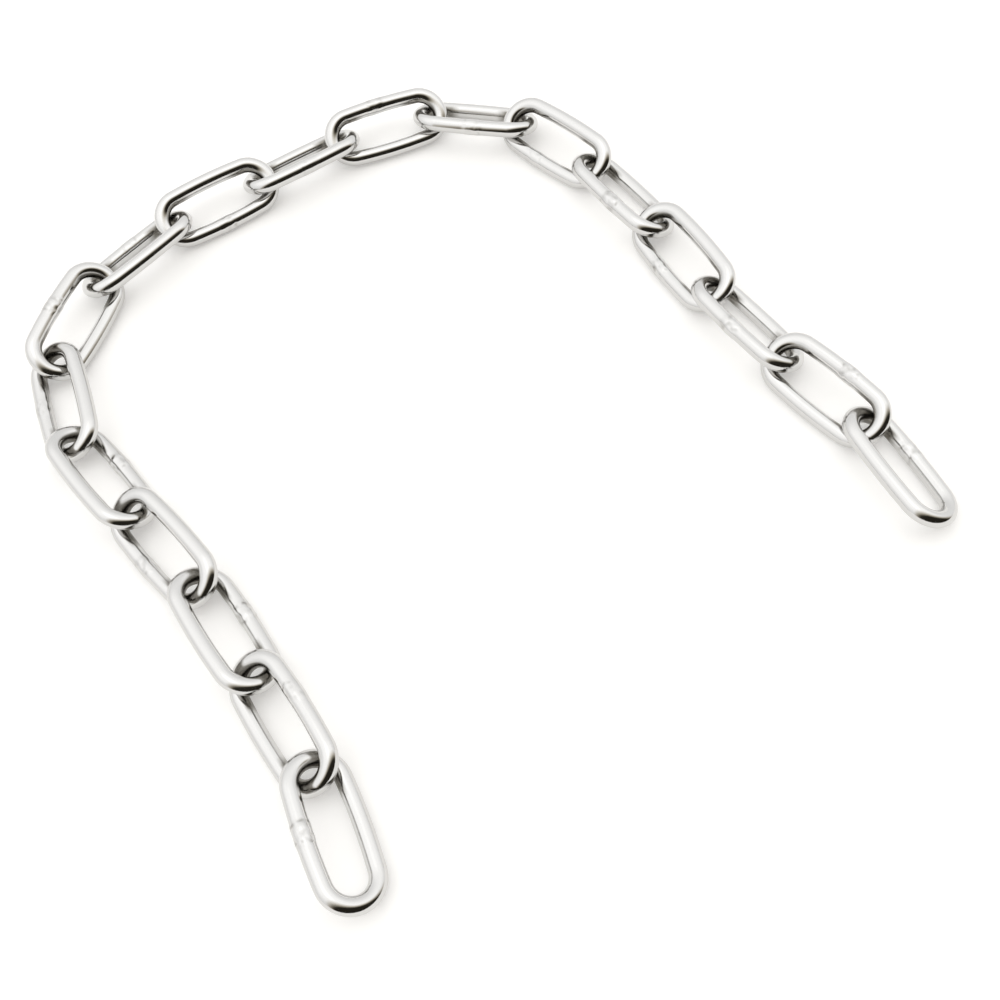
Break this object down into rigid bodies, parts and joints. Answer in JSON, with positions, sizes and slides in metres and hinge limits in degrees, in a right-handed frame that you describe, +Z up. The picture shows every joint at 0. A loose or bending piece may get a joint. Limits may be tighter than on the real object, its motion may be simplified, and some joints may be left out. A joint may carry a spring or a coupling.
{
  "type": "long-link steel chain",
  "caption": "Length of welded long-link chain in bright stainless steel, laid in a loose horseshoe; each oval link swings on the next.",
  "frame": {"origin": "floor level under the middle of the chain's bounding box", "axes": "+Z up from the floor the chain lies on, +X towards the right free end, +Y towards the closed end of the horseshoe"},
  "size_m": [0.2702, 0.2714, 0.0139],
  "materials": {
    "stainless_steel": "polished"
  },
  "bodies": {
    "link_01": {"link_01": "stainless_steel"},
    "link_02": {"link_02": "stainless_steel"},
    "link_03": {"link_03": "stainless_steel"},
    "link_04": {"link_04": "stainless_steel"},
    "link_05": {"link_05": "stainless_steel"},
    "link_06": {"link_06": "stainless_steel"},
    "link_07": {"link_07": "stainless_steel"},
    "link_08": {"link_08": "stainless_steel"},
    "link_09": {"link_09": "stainless_steel"},
    "link_10": {"link_10": "stainless_steel"},
    "link_11": {"link_11": "stainless_steel"},
    "link_12": {"link_12": "stainless_steel"},
    "link_13": {"link_13": "stainless_steel"},
    "link_14": {"link_14": "stainless_steel"},
    "link_15": {"link_15": "stainless_steel"},
    "link_16": {"link_16": "stainless_steel"},
    "link_17": {"link_17": "stainless_steel"},
    "link_18": {"link_18": "stainless_steel"}
  },
  "joints": [
    {"name": "link_02_swing", "type": "hinge", "parent": "link_01", "child": "link_02", "pos_m": [-0.0476, -0.09907, 0.00607], "axis": [-0.9171, -0.3987, 0], "range_deg": [-12, 12]},
    {"name": "link_03_swing", "type": "hinge", "parent": "link_02", "child": "link_03", "pos_m": [-0.06338, -0.07127, 0.00619], "axis": [0.8704, 0.4924, 0], "range_deg": [-12, 12]},
    {"name": "link_04_swing", "type": "hinge", "parent": "link_03", "child": "link_04", "pos_m": [-0.07931, -0.04327, 0.00636], "axis": [-0.829, -0.5592, 0], "range_deg": [-12, 12]},
    {"name": "link_05_swing", "type": "hinge", "parent": "link_04", "child": "link_05", "pos_m": [-0.09937, -0.01808, 0.00654], "axis": [0.7986, 0.6018, 0], "range_deg": [-12, 12]},
    {"name": "link_06_swing", "type": "hinge", "parent": "link_05", "child": "link_06", "pos_m": [-0.11876, 0.00771, 0.00619], "axis": [-0.8988, -0.4384, 0], "range_deg": [-12, 12]},
    {"name": "link_07_swing", "type": "hinge", "parent": "link_06", "child": "link_07", "pos_m": [-0.12822, 0.03875, 0.00641], "axis": [0.9981, -0.061, 0], "range_deg": [-12, 12]},
    {"name": "link_08_swing", "type": "hinge", "parent": "link_07", "child": "link_08", "pos_m": [-0.11514, 0.06846, 0.00653], "axis": [-0.8192, 0.5736, 0], "range_deg": [-12, 12]},
    {"name": "link_09_swing", "type": "hinge", "parent": "link_08", "child": "link_09", "pos_m": [-0.09136, 0.09033, 0.00631], "axis": [0.5736, -0.8192, 0], "range_deg": [-12, 12]},
    {"name": "link_10_swing", "type": "hinge", "parent": "link_09", "child": "link_10", "pos_m": [-0.06242, 0.10454, 0.00637], "axis": [-0.454, 0.891, 0], "range_deg": [-12, 12]},
    {"name": "link_11_swing", "type": "hinge", "parent": "link_10", "child": "link_11", "pos_m": [-0.03388, 0.11948, 0.00648], "axis": [0.3584, -0.9336, 0], "range_deg": [-12, 12]},
    {"name": "link_12_swing", "type": "hinge", "parent": "link_11", "child": "link_12", "pos_m": [-0.00278, 0.12836, 0.00624], "axis": [0, 1, 0], "range_deg": [-12, 12]},
    {"name": "link_13_swing", "type": "hinge", "parent": "link_12", "child": "link_13", "pos_m": [0.02858, 0.12002, 0.00624], "axis": [-0.515, -0.8572, 0], "range_deg": [-12, 12]},
    {"name": "link_14_swing", "type": "hinge", "parent": "link_13", "child": "link_14", "pos_m": [0.05022, 0.09596, 0.00636], "axis": [0.7986, 0.6018, 0], "range_deg": [-12, 12]},
    {"name": "link_15_swing", "type": "hinge", "parent": "link_14", "child": "link_15", "pos_m": [0.06666, 0.06825, 0.00613], "axis": [-0.8829, -0.4695, 0], "range_deg": [-12, 12]},
    {"name": "link_16_swing", "type": "hinge", "parent": "link_15", "child": "link_16", "pos_m": [0.07995, 0.03891, 0.00625], "axis": [0.8829, 0.4695, 0], "range_deg": [-12, 12]},
    {"name": "link_17_swing", "type": "hinge", "parent": "link_16", "child": "link_17", "pos_m": [0.09656, 0.01131, 0.00631], "axis": [-0.8339, -0.5519, 0], "range_deg": [-12, 12]},
    {"name": "link_18_swing", "type": "hinge", "parent": "link_17", "child": "link_18", "pos_m": [0.11584, -0.01421, 0.00607], "axis": [0.8746, 0.4848, 0], "range_deg": [-12, 12]}
  ]
}
